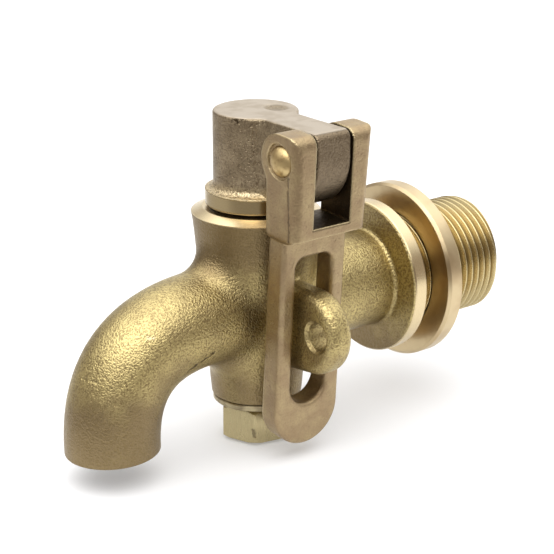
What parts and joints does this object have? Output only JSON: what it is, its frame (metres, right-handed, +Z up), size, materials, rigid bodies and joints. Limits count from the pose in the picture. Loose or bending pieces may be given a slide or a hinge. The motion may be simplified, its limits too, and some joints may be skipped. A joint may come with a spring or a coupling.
{
  "type": "lockable plug tap",
  "caption": "Cast brass tap with a down-turned spout, a threaded tail with round back nut, and a slotted fold-down lever that a padlock holds over an eye on the body.",
  "frame": {"origin": "centre of the flange's seating face, on the axis of the threaded tail", "axes": "+X along the tail, out of the inlet end; +Z up along the plug's axis; the lever and the padlock eye are on the -Y side, the spout turns down at -X"},
  "size_m": [0.1069, 0.0487, 0.0726],
  "materials": {
    "cast_brass": "sand cast, grainy, turned at rim, flange and tail",
    "cast_brass_dark": "sand cast, turned at collar and key, flat ground top",
    "cast_brass_lever": "fine cast, satin",
    "rivet_brass": "bright",
    "washer_brass": "satin",
    "nut_brass": "machined, bright",
    "turned_brass": "turned and polished"
  },
  "bodies": {
    "body": {"body": "cast_brass"},
    "plug": {"plug": "cast_brass_dark", "bottom_washer": "washer_brass", "bottom_nut": "nut_brass"},
    "lever": {"lever": "cast_brass_lever", "rivet_pin": "rivet_brass"},
    "back_nut": {"back_nut": "turned_brass"}
  },
  "joints": [
    {"name": "plug_turn", "type": "hinge", "parent": "body", "child": "plug", "pos_m": [-0.0341, 0, 0], "axis": [0, 0, 1], "range_deg": [-2, 2]},
    {"name": "lever_fold", "type": "hinge", "parent": "plug", "child": "lever", "pos_m": [-0.0341, -0.0202, 0.0374], "axis": [-1, 0, 0], "range_deg": [-2.5, 215]},
    {"name": "back_nut_run", "type": "slide", "parent": "body", "child": "back_nut", "axis": [1, 0, 0], "range_m": [-0.0038, 0.0153]}
  ]
}
